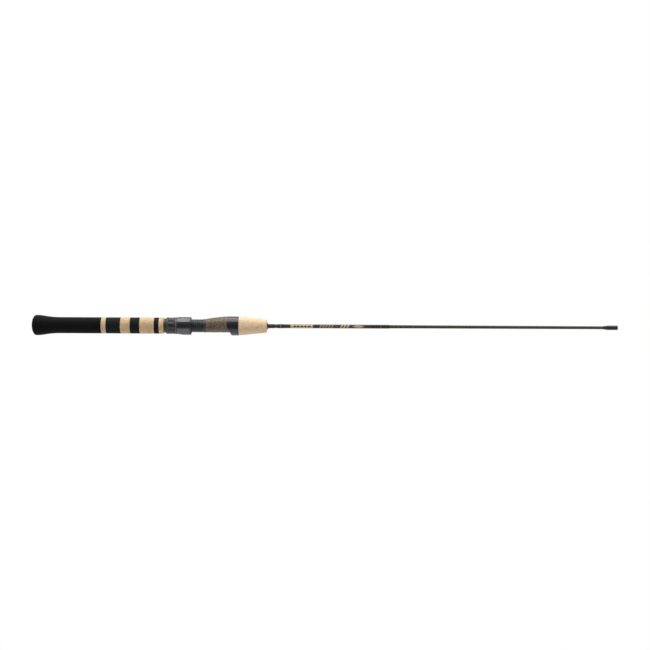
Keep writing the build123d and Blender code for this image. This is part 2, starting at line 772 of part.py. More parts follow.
os.makedirs("parts", exist_ok=True)
for part_name, shape in rod_parts().items():
    export_step(shape, f"parts/{part_name}.step")
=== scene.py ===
import math

import bpy
import numpy as np
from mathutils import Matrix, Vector


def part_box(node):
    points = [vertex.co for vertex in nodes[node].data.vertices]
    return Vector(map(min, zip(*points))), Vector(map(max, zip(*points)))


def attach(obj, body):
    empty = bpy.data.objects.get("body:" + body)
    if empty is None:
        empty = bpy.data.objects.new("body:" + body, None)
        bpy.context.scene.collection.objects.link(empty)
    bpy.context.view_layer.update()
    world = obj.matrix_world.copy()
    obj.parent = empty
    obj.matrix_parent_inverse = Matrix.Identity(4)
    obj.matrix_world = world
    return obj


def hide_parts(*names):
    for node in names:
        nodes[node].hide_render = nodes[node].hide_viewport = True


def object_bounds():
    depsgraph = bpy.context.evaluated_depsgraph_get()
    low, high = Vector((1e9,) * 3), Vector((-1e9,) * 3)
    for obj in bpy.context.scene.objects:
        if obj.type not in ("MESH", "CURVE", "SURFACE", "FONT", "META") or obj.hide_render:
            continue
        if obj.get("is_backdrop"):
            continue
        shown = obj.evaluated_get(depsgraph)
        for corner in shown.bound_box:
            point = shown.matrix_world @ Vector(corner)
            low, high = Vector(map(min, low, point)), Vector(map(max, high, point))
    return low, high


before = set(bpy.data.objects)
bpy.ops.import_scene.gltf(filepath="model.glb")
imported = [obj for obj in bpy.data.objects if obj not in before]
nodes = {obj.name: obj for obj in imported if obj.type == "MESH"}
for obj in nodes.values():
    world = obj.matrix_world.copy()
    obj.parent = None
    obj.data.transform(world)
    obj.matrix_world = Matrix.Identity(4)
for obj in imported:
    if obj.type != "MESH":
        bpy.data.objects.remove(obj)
cad_low, cad_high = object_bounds()

# --------------------------------------------------------------------------------------------------
# Sizes. Lengths are in metres, and MM turns millimetres into metres.
# --------------------------------------------------------------------------------------------------
MM = 0.001

# Meshes of revolution: columns round the axis, and the longest step along it.
GRIP_AROUND = 384
FINE_AROUND = 96
CORK_STEP = 0.24 * MM
EVA_STEP = 0.7 * MM
BLANK_STEP = 4 * MM
COAT_STEP = 2 * MM
PLACE_TOLERANCE = 0.0005 * MM
OUTLINE_TOLERANCE = 0.004 * MM
TURNED_SHARP_ANGLE = math.radians(35)

# Grip pieces.
RING_PITCH = 7.5 * MM
GLUE_LINE_DEPTH = 0.10 * MM
GLUE_LINE_WIDTH = 0.16 * MM
GLUE_LINE_POINTS = (-1, -0.5, 0, 0.5, 1)
SANDING_DEPTH = 0.035 * MM
SANDING_WAVES = 9
AXIS_CLEARANCE = 0.02 * MM
CALM_RADIUS = 2 * MM
CALM_WIDTH = 4 * MM

# Cork pits.
PIT_SEED = 11
PITS_PER_DISC = 26
FOREGRIP_PITS = 150
PIT_LENGTHS = (0.5, 2.6)
PIT_WIDTHS = (0.22, 0.6)
PIT_DEPTHS = (0.10, 0.34)

# Thread wraps.
THREAD_PITCH = 0.26 * MM
THREAD_RELIEF = 0.022 * MM
THREAD_ROUNDNESS = 0.6
THREAD_FADE = 0.3 * MM
WRAP_SAMPLES = 7

# Nut, with a painted highlight on its collar.
COLLAR_WIDTH = 2.6 * MM
COLLAR_BLUR = 0.1 * MM

# Printed marks.
MARK_PROUD = 0.035 * MM
MARK_SUNK = 0.03 * MM
MARK_STEP = 0.7 * MM
MARK_ROWS = 10
MARK_THINNEST = 0.02 * MM
MARK_SHARP_ANGLE = math.radians(40)
LOZENGE_LIFT = 0.02 * MM

# Studio.
CAMERA_DISTANCE = 2.1
CAMERA_LENS = 74.4
CAMERA_SENSOR = 36
CAMERA_ROLL = -math.radians(0.28)
CAMERA_RISE = 2.2 * MM
SOFTBOX_SIZE = (3.2, 1.6)
SOFTBOX_HEIGHT = 1.2
SOFTBOX_SHIFT = -0.05
SOFTBOX_RADIANCE = 3.2
SIDE_SIZE = (1.0, 1.4)
SIDE_RADIANCE = 2.6
SIDE_PLACE = (1.9, -1.5, 0.25)
FLOOR_DROP = 0.8
FLOOR_SIZE = (4.6, 2.35)
FLOOR_GLOW = 0.20
FLOOR_FADE = (0.36, 0.5)
WORLD_SLOPE = (0.15, 0.8)
WORLD_HORIZON = 0.17
WORLD_TOP = 0.45

# Most noise lies between these two values, so ramps and ranges start and end there.
NOISE_LOW = 0.3
NOISE_HIGH = 0.7

CORK_DISCS = ["cork_ring_1", "cork_ring_2", "cork_ring_3", "cork_ring_4"]
FOAM_DISCS = ["foam_ring_1", "foam_ring_2", "foam_ring_3"]
outlines = {}


# --------------------------------------------------------------------------------------------------
# Shader nodes
# --------------------------------------------------------------------------------------------------
def add(tree, kind, props=None, **inputs):
    """New shader node. An input is a socket to link from or a constant, with _ for a space."""
    node = tree.nodes.new(kind)
    for key, value in (props or {}).items():
        setattr(node, key, value)
    for key, value in inputs.items():
        put(tree, node, key.replace("_", " "), value)
    return node


def put(tree, node, key, value):
    """Links or sets one input, found by its name or by its number."""
    socket = node.inputs[int(key[3:])] if key.startswith("at ") else node.inputs[key]
    if isinstance(value, bpy.types.NodeSocket):
        tree.links.new(value, socket)
    else:
        socket.default_value = value


def opaque(colour):
    """A constant colour with its alpha, or the socket it was given."""
    return (*colour, 1) if isinstance(colour, tuple) else colour


def ramp(tree, factor, *stops):
    """Colour ramp from (place, colour) stops, with linear colours."""
    node = add(tree, "ShaderNodeValToRGB", Fac=factor)
    points = node.color_ramp.elements
    while len(points) < len(stops):
        points.new(0.5)
    for point, (place_on_ramp, colour) in zip(points, stops):
        point.position = place_on_ramp
        point.color = opaque(colour)
    return node.outputs["Color"]


def two_tone(tree, factor, dark, light):
    """Colour from dark to light over the usual range of a noise."""
    return ramp(tree, factor, (NOISE_LOW, dark), (NOISE_HIGH, light))


def math_node(tree, operation, a, b=0.0):
    """Result of a math node."""
    return add(tree, "ShaderNodeMath", {"operation": operation}, at_0=a, at_1=b).outputs[0]


def weighted(tree, *terms):
    """Sum of (value, weight) terms."""
    total = None
    for value, weight in terms:
        part = math_node(tree, "MULTIPLY", value, weight)
        total = part if total is None else math_node(tree, "ADD", total, part)
    return total


def remap(tree, value, low, high, to_low, to_high):
    """Value moved from one range to another, clamped."""
    node = add(tree, "ShaderNodeMapRange", {"clamp": True}, Value=value, From_Min=low,
               From_Max=high, To_Min=to_low, To_Max=to_high)
    return node.outputs["Result"]


def between(tree, value, to_low, to_high):
    """A noise's usual range moved to another range, clamped."""
    return remap(tree, value, NOISE_LOW, NOISE_HIGH, to_low, to_high)


def blend(tree, factor, a, b, how="MIX"):
    """Colour mixed from two colours or sockets."""
    props = {"data_type": "RGBA", "blend_type": how, "clamp_factor": True}
    node = add(tree, "ShaderNodeMix", props, at_0=factor, at_6=opaque(a), at_7=opaque(b))
    return node.outputs[2]


def place(tree, stretch=(1, 1, 1)):
    """Object coordinates, stretched along each axis."""
    where = add(tree, "ShaderNodeTexCoord").outputs["Object"]
    return add(tree, "ShaderNodeMapping", Vector=where, Scale=stretch).outputs[0]


def noise(tree, where, size, detail, rough=0.55):
    """Noise whose features are about size metres across."""
    node = add(tree, "ShaderNodeTexNoise", Vector=where, Scale=1 / size, Detail=detail,
               Roughness=rough)
    return node.outputs["Fac"]


def cells(tree, where, size, feature="F1"):
    """Distance pattern of cells about size metres across."""
    node = add(tree, "ShaderNodeTexVoronoi", {"feature": feature}, Vector=where, Scale=1 / size)
    return node.outputs["Distance"]


def bump(tree, height, depth, strength):
    """Normal bumped by a height from 0 to 1 that stands for depth metres."""
    node = add(tree, "ShaderNodeBump", Height=height, Distance=depth, Strength=strength)
    return node.outputs[0]


def material(name):
    """New material with a Principled shader: (material, tree, shader)."""
    made = bpy.data.materials.new(name)
    made.use_nodes = True
    tree = made.node_tree
    tree.nodes.clear()
    shader = add(tree, "ShaderNodeBsdfPrincipled")
    end = add(tree, "ShaderNodeOutputMaterial")
    tree.links.new(shader.outputs[0], end.inputs[0])
    return made, tree, shader


def finish_shader(tree, shader, **inputs):
    """Sets or links the shader's inputs."""
    for key, value in inputs.items():
        put(tree, shader, key.replace("_", " "), opaque(value))


def times(colour, factor):
    """A constant colour made brighter or darker."""
    return tuple(factor * c for c in colour)


# --------------------------------------------------------------------------------------------------
# Materials
# --------------------------------------------------------------------------------------------------
def foam_material(name, dark, light, shine):
    """Closed-cell foam: matt, with sanded fine cells."""
    made, tree, shader = material(name)
    where = place(tree)
    grain = noise(tree, where, 0.35 * MM, 4, 0.7)
    patches = noise(tree, where, 9 * MM, 3)
    pores = cells(tree, where, 0.55 * MM)
    tone = weighted(tree, (grain, 0.55), (patches, 0.45))
    colour = two_tone(tree, tone, dark, light)
    height = weighted(tree, (pores, 0.6), (grain, 0.4))
    finish_shader(
        tree, shader, Base_Color=colour, Specular_IOR_Level=shine,
        Roughness=between(tree, patches, 0.62, 0.78),
        Normal=bump(tree, height, 0.06 * MM, 0.6))
    return made


def cork_material(name, dark, middle_tone, light, pore):
    """Natural cork: warm mottled ground, faint growth streaks, fine specks and dark pits."""
    made, tree, shader = material(name)
    where = place(tree)
    clouds = noise(tree, where, 5 * MM, 4, 0.6)
    fine = noise(tree, where, 0.8 * MM, 5, 0.7)
    streaks = noise(tree, place(tree, (0.3, 1.4, 1.4)), 1.6 * MM, 3, 0.6)
    tone = weighted(tree, (clouds, 0.42), (fine, 0.33), (streaks, 0.25))
    colour = ramp(tree, tone, (0.34, dark), (0.5, middle_tone), (0.66, light))
    specks = remap(tree, noise(tree, where, 0.45 * MM, 2), 0.60, 0.72, 0.0, 0.55)
    colour = blend(tree, specks, colour, pore)
    pit = add(tree, "ShaderNodeAttribute", {"attribute_name": "pit"}).outputs["Fac"]
    colour = blend(tree, remap(tree, pit, 0.05, 0.6, 0.0, 0.92), colour, pore)
    height = weighted(tree, (fine, 0.7), (specks, -0.5))
    finish_shader(
        tree, shader, Base_Color=colour, Specular_IOR_Level=0.3,
        Roughness=between(tree, fine, 0.6, 0.82), Normal=bump(tree, height, 0.09 * MM, 0.6))
    return made


def burl_material(name):
    """Polished burl cork: light and dark granules pressed together under a clear finish."""
    made, tree, shader = material(name)
    granule = 1.4 * MM
    where = place(tree)
    bent = noise(tree, where, 4 * MM, 3)
    grains = add(tree, "ShaderNodeTexVoronoi", Vector=where, Scale=1 / granule, Randomness=1.0)
    pick = add(tree, "ShaderNodeSeparateColor", Color=grains.outputs["Color"]).outputs[0]
    fine = noise(tree, where, 0.5 * MM, 4, 0.65)
    tone = weighted(tree, (pick, 0.55), (fine, 0.45))
    colour = ramp(tree, tone, (0.2, (0.050, 0.032, 0.019)), (0.45, (0.100, 0.070, 0.043)),
                  (0.65, (0.150, 0.110, 0.072)), (0.88, (0.22, 0.165, 0.112)))
    seams = remap(tree, cells(tree, where, granule, "DISTANCE_TO_EDGE"), 0.0, 0.09, 0.6, 0.0)
    colour = blend(tree, seams, colour, (0.020, 0.012, 0.008))
    shade = remap(tree, bent, 0.45, 0.7, 0.0, 0.35)
    colour = blend(tree, shade, colour, (0.05, 0.032, 0.02))
    finish_shader(
        tree, shader, Base_Color=colour, Roughness=between(tree, fine, 0.38, 0.5),
        Specular_IOR_Level=0.22, Coat_Weight=0.10, Coat_Roughness=0.22,
        Normal=bump(tree, fine, 0.05 * MM, 0.5), Coat_Normal=bump(tree, bent, 0.12 * MM, 0.15))
    return made


def nylon_material(name, dark, light, rough, hollow_r, proud_r, collar=None):
    """Moulded black nylon: fine spark texture, slight scuffs, painted shade in hollows and painted
    highlight where proud.

    hollow_r and proud_r are distances from the rod's axis at which the painted shade and the
    painted highlight are fullest, and collar is where a painted highlight makes the collar paler.
    """
    made, tree, shader = material(name)
    where = place(tree)
    grain = noise(tree, where, 0.22 * MM, 3, 0.6)
    smudge = noise(tree, where, 6 * MM, 4, 0.6)
    scratches = noise(tree, place(tree, (1.0, 0.25, 0.25)), 0.5 * MM, 3, 0.7)
    scuff = remap(tree, scratches, 0.62, 0.8, 0.0, 0.35)
    colour = blend(tree, scuff, two_tone(tree, smudge, dark, light), times(light, 3))
    axes = add(tree, "ShaderNodeSeparateXYZ", Vector=where).outputs
    squares = [math_node(tree, "MULTIPLY", axis, axis) for axis in axes[1:]]
    out_by = math_node(tree, "SQRT", math_node(tree, "ADD", *squares))
    # Painted shade and painted highlight: colour darker towards the hollows and lighter on what is
    # proud.
    shade = remap(tree, out_by, hollow_r, proud_r, 0.5, 1.45)
    colour = blend(tree, 1.0, colour, shade, "MULTIPLY")
    if collar:
        # Painted highlight: the nut's collar turns paler from where it starts.
        painted_collar_highlight = remap(tree, axes[0], collar - COLLAR_BLUR, collar, 0.0, 0.8)
        colour = blend(tree, painted_collar_highlight, colour, (0.085, 0.086, 0.088))
    finish_shader(
        tree, shader, Base_Color=colour, Specular_IOR_Level=0.32,
        Roughness=between(tree, smudge, rough, rough + 0.12),
        Normal=bump(tree, grain, 0.03 * MM, 0.45))
    return made


def gloss_material(name, dark, light, rough):
    """Glossy lacquered or moulded piece with faint unevenness under a clear coat."""
    made, tree, shader = material(name)
    where = place(tree)
    cloud = noise(tree, where, 7 * MM, 3)
    flake = noise(tree, where, 0.16 * MM, 2)
    glints = remap(tree, flake, 0.55, 0.75, 0.0, 0.6)
    colour = blend(tree, glints, two_tone(tree, cloud, dark, light), times(light, 2.2))
    finish_shader(
        tree, shader, Base_Color=colour, Roughness=between(tree, cloud, 0.3, 0.4),
        Specular_IOR_Level=0.15, Coat_Weight=0.75, Coat_Roughness=rough,
        Normal=bump(tree, flake, 0.012 * MM, 0.4), Coat_Normal=bump(tree, cloud, 0.05 * MM, 0.12))
    return made


def metal_material(name, dark, light, rough):
    """Turned or drawn metal with fine lines round its axis and light wear."""
    made, tree, shader = material(name)
    lines = noise(tree, place(tree, (1.0, 0.04, 0.04)), 0.14 * MM, 3, 0.6)
    cloud = noise(tree, place(tree), 5 * MM, 4, 0.6)
    colour = two_tone(tree, weighted(tree, (lines, 0.25), (cloud, 0.75)), dark, light)
    finish_shader(
        tree, shader, Base_Color=colour, Metallic=1.0,
        Roughness=between(tree, cloud, rough, rough + 0.09),
        Normal=bump(tree, lines, 0.006 * MM, 0.35))
    return made


def carbon_material(name, dark, light, coat, fleck):
    """Coated carbon blank: fibres along the rod, faint spiral tape marks, slow colour changes."""
    made, tree, shader = material(name)
    fibres = noise(tree, place(tree, (0.02, 1.0, 1.0)), 0.16 * MM, 3, 0.65)
    cloud = noise(tree, place(tree, (0.25, 1.0, 1.0)), 6 * MM, 4, 0.6)
    tape = add(tree, "ShaderNodeTexWave", {"wave_type": "BANDS", "bands_direction": "X"},
               Vector=place(tree, (1, 0.35, 0.35)), Scale=1 / (22 * MM), Distortion=1.2,
               Detail=1.0).outputs["Fac"]
    tone = weighted(tree, (fibres, 0.6), (cloud, 0.4))
    flecks = remap(tree, fibres, 0.58, 0.75, 0.0, 0.5)
    colour = blend(tree, flecks, two_tone(tree, tone, dark, light), fleck)
    finish_shader(
        tree, shader, Base_Color=colour, Roughness=between(tree, cloud, 0.46, 0.58),
        Specular_IOR_Level=0.18, Coat_Weight=coat, Coat_Roughness=0.16,
        Normal=bump(tree, fibres, 0.012 * MM, 0.35), Coat_Normal=bump(tree, tape, 0.03 * MM, 0.25))
    return made


def winding_material(name, dark, light):
    """Wound thread that shows its separate turns under a smooth epoxy coat, with painted shade in
    the grooves between turns.
    """
    made, tree, shader = material(name)
    where = place(tree)
    twist = noise(tree, place(tree, (1.0, 0.3, 0.3)), 0.12 * MM, 2)
    cloud = noise(tree, where, 4 * MM, 3)
    turn = add(tree, "ShaderNodeAttribute", {"attribute_name": "turn"}).outputs["Fac"]
    tone = weighted(tree, (twist, 0.5), (cloud, 0.5))
    colour = two_tone(tree, tone, dark, light)
    # Painted shade: colour darker in the grooves between the turns of thread.
    painted_groove_shade = remap(tree, turn, 0.0, 1.0, 0.45, 0.0)
    colour = blend(tree, painted_groove_shade, colour, times(dark, 0.25))
    finish_shader(
        tree, shader, Base_Color=colour, Roughness=between(tree, twist, 0.42, 0.55),
        Specular_IOR_Level=0.2, Coat_Weight=0.18, Coat_Roughness=0.08,
        Normal=bump(tree, twist, 0.02 * MM, 0.4), Coat_Normal=bump(tree, cloud, 0.10 * MM, 0.2))
    return made


def gold_material(name, dark, light):
    """Printed gold leaf with an uneven, slightly rubbed surface."""
    made, tree, shader = material(name)
    where = place(tree)
    cloud = noise(tree, where, 1.3 * MM, 4, 0.65)
    rub = remap(tree, noise(tree, where, 0.3 * MM, 3, 0.7), 0.6, 0.75, 0.0, 0.4)
    colour = blend(tree, rub, two_tone(tree, cloud, dark, light), times(dark, 0.35))
    finish_shader(
        tree, shader, Base_Color=colour, Metallic=0.35, Roughness=between(tree, cloud, 0.35, 0.5),
        Coat_Weight=0.6, Coat_Roughness=0.1, Normal=bump(tree, cloud, 0.01 * MM, 0.4))
    return made


# Colours are linear. Each maker's arguments are its name, its colours from dark to light, and what
# its own signature adds.
MAKERS = [
    (foam_material, "eva_foam", (0.0018, 0.0019, 0.0022), (0.0048, 0.0050, 0.0056), 0.07),
    (foam_material, "ring_foam", (0.0046, 0.0052, 0.0053), (0.0098, 0.0107, 0.0110), 0.08),
    (cork_material, "ring_cork", (0.350, 0.226, 0.116), (0.480, 0.342, 0.192),
     (0.575, 0.440, 0.275), (0.10, 0.055, 0.028)),
    (cork_material, "foregrip_cork", (0.480, 0.330, 0.188), (0.600, 0.440, 0.272),
     (0.690, 0.550, 0.375), (0.15, 0.085, 0.045)),
    (burl_material, "burl_cork"),
    (nylon_material, "seat_nylon", (0.014, 0.0155, 0.016), (0.026, 0.028, 0.029), 0.30,
     9.65 * MM, 10.35 * MM),
    (nylon_material, "nut_nylon", (0.020, 0.0205, 0.0195), (0.034, 0.0345, 0.033), 0.33,
     12.4 * MM, 12.9 * MM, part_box("lock_nut")[1].x - COLLAR_WIDTH),
    (metal_material, "spring_steel", (0.38, 0.38, 0.39), (0.56, 0.56, 0.57), 0.24),
    (metal_material, "hood_metal", (0.070, 0.070, 0.073), (0.102, 0.102, 0.106), 0.14),
    (gloss_material, "liner_plastic", (0.009, 0.010, 0.012), (0.018, 0.020, 0.024), 0.12),
    (gloss_material, "hood_gloss", (0.0045, 0.0052, 0.0082), (0.0088, 0.0104, 0.0155), 0.05),
    (gloss_material, "trim_ring_gloss", (0.006, 0.006, 0.007), (0.012, 0.012, 0.013), 0.10),
    (foam_material, "arbor_foam", (0.30, 0.27, 0.20), (0.42, 0.39, 0.31), 0.3),
    (carbon_material, "blank_carbon", (0.026, 0.026, 0.020), (0.052, 0.052, 0.041), 0.05,
     (0.080, 0.080, 0.066)),
    (metal_material, "check_aluminium", (0.14, 0.135, 0.138), (0.22, 0.215, 0.22), 0.26),
    (winding_material, "thread_epoxy", (0.012, 0.006, 0.0035), (0.028, 0.015, 0.008)),
    (winding_material, "trim_thread", (0.19, 0.125, 0.065), (0.34, 0.24, 0.13)),
    (carbon_material, "label_coat", (0.018, 0.015, 0.008), (0.036, 0.031, 0.017), 0.22,
     (0.060, 0.053, 0.032)),
    (winding_material, "trim_brown", (0.060, 0.042, 0.028), (0.115, 0.083, 0.055)),
    (winding_material, "ferrule_epoxy", (0.012, 0.008, 0.007), (0.026, 0.018, 0.015)),
    (gold_material, "mark_gold", (0.36, 0.26, 0.115), (0.56, 0.45, 0.27)),
    (gold_material, "mark_bronze", (0.21, 0.145, 0.065), (0.34, 0.25, 0.13)),
    (gold_material, "mark_dark", (0.016, 0.012, 0.007), (0.034, 0.026, 0.016)),
]
finishes = {arguments[0]: maker(*arguments) for maker, *arguments in MAKERS}


# --------------------------------------------------------------------------------------------------
# Round pieces made finer than their CAD nodes
# --------------------------------------------------------------------------------------------------
def envelope(node, pick):
    """Outline of a turned CAD node as (places, radii), with the radius that pick chooses at each
    place: the largest or the smallest."""
    mesh = nodes[node].data
    spots = np.array([v.co for v in mesh.vertices], float)
    ends = spots[np.array([e.vertices[:] for e in mesh.edges])]
    swap = ends[:, 0, 0] > ends[:, 1, 0]
    ends[swap] = ends[swap][:, ::-1]
    first, last = ends[:, 0], ends[:, 1]
    places = np.unique(np.round(spots[:, 0], 7))
    radii = []
    for x in places:
        starts_before = first[:, 0] <= x + PLACE_TOLERANCE
        ends_after = last[:, 0] >= x - PLACE_TOLERANCE
        a, b = first[starts_before & ends_after], last[starts_before & ends_after]
        share = np.clip((x - a[:, 0]) / np.maximum(b[:, 0] - a[:, 0], 1e-9), 0, 1)[:, None]
        level = b[:, 0] - a[:, 0] < PLACE_TOLERANCE
        both = np.concatenate([a + share * (b - a), b[level]])
        radii.append(pick(np.hypot(both[:, 1], both[:, 2])))
    return simplified(places, np.array(radii))


def simplified(places, radii):
    """The outline without the points that lie on the line between their neighbours."""
    keep = {0, len(places) - 1}
    spans = [(0, len(places) - 1)]
    while spans:
        a, b = spans.pop()
        if b - a < 2:
            continue
        line = np.interp(places[a : b + 1], places[[a, b]], radii[[a, b]])
        away = np.abs(radii[a : b + 1] - line)
        worst = int(away.argmax())
        if away[worst] > OUTLINE_TOLERANCE:
            keep.add(a + worst)
            spans += [(a, a + worst), (a + worst, b)]
    chosen = sorted(keep)
    return places[chosen], radii[chosen]


def outer_line(node):
    """(places, radii) of a turned CAD node's outside, rear to front."""
    if node not in outlines:
        outlines[node] = envelope(node, np.max)
    return outlines[node]


def inner_line(start, end):
    """Inside outline along the blank's surface, front to rear."""
    places, radii = outer_line("blank")
    inside = [x for x in places if start < x < end]
    xs = np.array([end, *inside[::-1], start])
    return np.stack([xs, np.interp(xs, places, radii)], axis=1)


def dense_line(places, radii, step):
    """The outline with extra points between its own, no further apart than step."""
    fine = [places[0]]
    for a, b in zip(places, places[1:]):
        pieces = max(1, int(math.ceil((b - a) / step)))
        fine.extend(np.linspace(a, b, pieces + 1)[1:])
    fine = np.array(fine)
    return fine, np.interp(fine, places, radii)


def angles_round(count):
    """Evenly spaced angles round the axis."""
    return np.arange(count) * 2 * math.pi / count


def turned_mesh(name, profile, around, relief=None, attribute=None):
    """Closed mesh of revolution about the rod's axis.

    profile is the closed outline as (place, radius) rows, outside first from rear to front.
    relief, one row for each outside point, is how far the surface sinks at each step round the
    axis. attribute is the name of a point attribute and its values, in rows like relief's.
    """
    profile = np.asarray(profile, float)
    count = len(profile)
    angle = angles_round(around)
    radius = np.repeat(profile[:, 1:2], around, axis=1)
    if relief is not None:
        radius[: len(relief)] -= relief
    along = np.repeat(profile[:, :1], around, axis=1)
    spots = np.stack([along, radius * np.cos(angle), radius * np.sin(angle)], axis=2)
    i = np.arange(count)[:, None]
    j = np.arange(around)[None, :]
    next_i = (i + 1) % count
    next_j = (j + 1) % around
    corners = [i * around + j, i * around + next_j, next_i * around + next_j, next_i * around + j]
    faces = np.stack(corners, axis=2).reshape(-1, 4)
    mesh = bpy.data.meshes.new(name)
    mesh.vertices.add(count * around)
    mesh.vertices.foreach_set("co", spots.astype(np.float32).ravel())
    mesh.loops.add(faces.size)
    mesh.loops.foreach_set("vertex_index", faces.astype(np.int32).ravel())
    mesh.polygons.add(len(faces))
    mesh.polygons.foreach_set("loop_start", np.arange(0, faces.size, 4, dtype=np.int32))
    mesh.update()
    mesh.validate()
    mesh.polygons.foreach_set("use_smooth", np.ones(len(faces), bool))
    mesh.set_sharp_from_angle(angle=TURNED_SHARP_ANGLE)
    if attribute is not None:
        key, outside_values = attribute
        values = np.zeros((count, around), np.float32)
        values[: len(outside_values)] = outside_values
        mesh.attributes.new(key, "FLOAT", "POINT").data.foreach_set("value", values.ravel())
    return in_scene(name, mesh)


def in_scene(name, data):
    """New object with this mesh, lamp or camera, in the scene."""
    made = bpy.data.objects.new(name, data)
    bpy.context.scene.collection.objects.link(made)
    return made


def dress(piece, finish, body="rod", replaced=()):
    """Gives a new piece its material and body, and hides the CAD nodes it stands for."""
    piece.data.materials.append(finishes[finish])
    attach(piece, body)
    if replaced:
        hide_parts(*replaced)
    return piece


def pit_relief(xs, radius, amount, rng):
    """(relief, share) of cork pits: uneven slots sunk in the surface, most of them round it."""
    angles = angles_round(GRIP_AROUND)
    relief = np.zeros((len(xs), len(angles)))
    share = np.zeros_like(relief)
    for _ in range(amount):
        centre = rng.uniform(xs[0], xs[-1])
        turn = rng.uniform(0, 2 * math.pi)
        tilt = rng.normal(math.pi / 2, 0.5)
        half_long = rng.uniform(*PIT_LENGTHS) * MM / 2
        half_wide = rng.uniform(*PIT_WIDTHS) * MM / 2
        sink = rng.uniform(*PIT_DEPTHS) * MM
        wobble = rng.uniform(0.15, 0.4)
        phase = rng.uniform(0, 2 * math.pi)
        reach = half_long + half_wide
        rows = np.where(np.abs(xs - centre) < reach)[0]
        spread = np.angle(np.exp(1j * (angles - turn)))
        columns = np.where(np.abs(spread) * radius < reach)[0]
        if not len(rows) or not len(columns):
            continue
        u = (xs[rows] - centre)[:, None]
        v = (spread[columns] * radius)[None, :]
        a = u * math.cos(tilt) + v * math.sin(tilt)
        b = v * math.cos(tilt) - u * math.sin(tilt)
        b = b + wobble * half_wide * np.sin(a / half_long * 4 + phase)
        q = np.sqrt((a / half_long) ** 2 + (b / half_wide) ** 2)
        deep = np.clip(1.25 * (1 - q), 0, 1)
        deep = deep * deep * (3 - 2 * deep)
        window = np.ix_(rows, columns)
        relief[window] = np.maximum(relief[window], sink * deep)
        share[window] = np.maximum(share[window], deep)
    return relief, share


def waviness(xs, rng):
    """Slow unevenness of a sanded surface, always at or below the CAD surface."""
    angles = angles_round(GRIP_AROUND)
    total = np.zeros((len(xs), GRIP_AROUND))
    for _ in range(SANDING_WAVES):
        along = rng.uniform(60, 500)
        turns = rng.integers(1, 9)
        total += np.sin(along * xs[:, None] + turns * angles[None, :] + rng.uniform(0, 6.28))
    total = (total - total.min()) / max(1e-9, total.max() - total.min())
    return SANDING_DEPTH * total


def glue_lines(xs, start, end):
    """Depth of the glue lines between the discs of one stack piece."""
    sink = np.zeros(len(xs))
    seam = start + RING_PITCH
    while seam < end - RING_PITCH / 2:
        sink += GLUE_LINE_DEPTH * np.clip(1 - np.abs(xs - seam) / GLUE_LINE_WIDTH, 0, 1)
        seam += RING_PITCH
    return sink


def grip_piece(node, finish, step, rng, pits=0, discs=False):
    """Cork or foam grip piece over its CAD outline, with its pits, glue lines and unevenness."""
    places, radii = outer_line(node)
    start, end = places[0], places[-1]
    xs, rs = dense_line(places, radii, step)
    if discs:
        seams = np.arange(start + RING_PITCH, end - RING_PITCH / 2, RING_PITCH)
        extra = np.concatenate([seams + k * GLUE_LINE_WIDTH for k in GLUE_LINE_POINTS])
        xs = np.unique(np.concatenate([xs, extra]))
        rs = np.interp(xs, places, radii)
    relief = waviness(xs, rng)
    share = np.zeros_like(relief)
    if pits:
        sunk, share = pit_relief(xs, rs.mean(), pits, rng)
        relief += sunk
    if discs:
        relief += glue_lines(xs, start, end)[:, None]
    inside = inner_line(start, end)
    if node == "butt_grip":
        # Solid behind the blank, but for a hair's width that keeps the mesh open at the axis.
        bore_end = outer_line("blank")[0][0]
        inside = np.array([*inner_line(bore_end, end), (bore_end, AXIS_CLEARANCE),
                           (start, AXIS_CLEARANCE)])
        relief *= np.clip((rs - CALM_RADIUS) / CALM_WIDTH, 0, 1)[:, None]
    profile = np.concatenate([np.stack([xs, rs], axis=1), inside])
    piece = turned_mesh(node + "_skin", profile, GRIP_AROUND, relief, ("pit", share))
    return dress(piece, finish, "rod", [node])


def wound_piece(node, finish):
    """Wrap whose outside shows its turns of thread, over its CAD outline."""
    places, radii = outer_line(node)
    xs, rs = dense_line(places, radii, THREAD_PITCH / WRAP_SAMPLES)
    angle = angles_round(FINE_AROUND)
    phase = (xs[:, None] / THREAD_PITCH - angle[None, :] / (2 * math.pi)) % 1.0
    crest = np.abs(np.sin(math.pi * phase)) ** THREAD_ROUNDNESS
    fade = np.clip(np.minimum(xs - xs[0], xs[-1] - xs) / THREAD_FADE, 0, 1)[:, None]
    relief = THREAD_RELIEF * (1 - crest) * fade
    profile = np.concatenate([np.stack([xs, rs], axis=1), inner_line(places[0], places[-1])])
    # The turn attribute is the crest height, which the material uses for painted shade in the
    # grooves.
    piece = turned_mesh(node + "_skin", profile, FINE_AROUND, relief, ("turn", crest))
    return dress(piece, finish, "rod", [node])


rng = np.random.default_rng(PIT_SEED)
grip_piece("butt_grip", "eva_foam", EVA_STEP, rng)
for name in FOAM_DISCS:
    grip_piece(name, "ring_foam", EVA_STEP, rng, discs=True)
for name in CORK_DISCS:
    low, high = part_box(name)
    amount = round((high.x - low.x) / RING_PITCH) * PITS_PER_DISC
    grip_piece(name, "ring_cork", CORK_STEP, rng, amount, discs=True)
grip_piece("foregrip", "foregrip_cork", CORK_STEP, rng, FOREGRIP_PITS)

for name in ("thread_wrap_1", "thread_wrap_2", "thread_wrap_3"):
    wound_piece(name, "thread_epoxy")
for name in ("ferrule_wrap", "ferrule_end_band"):
    wound_piece(name, "ferrule_epoxy")

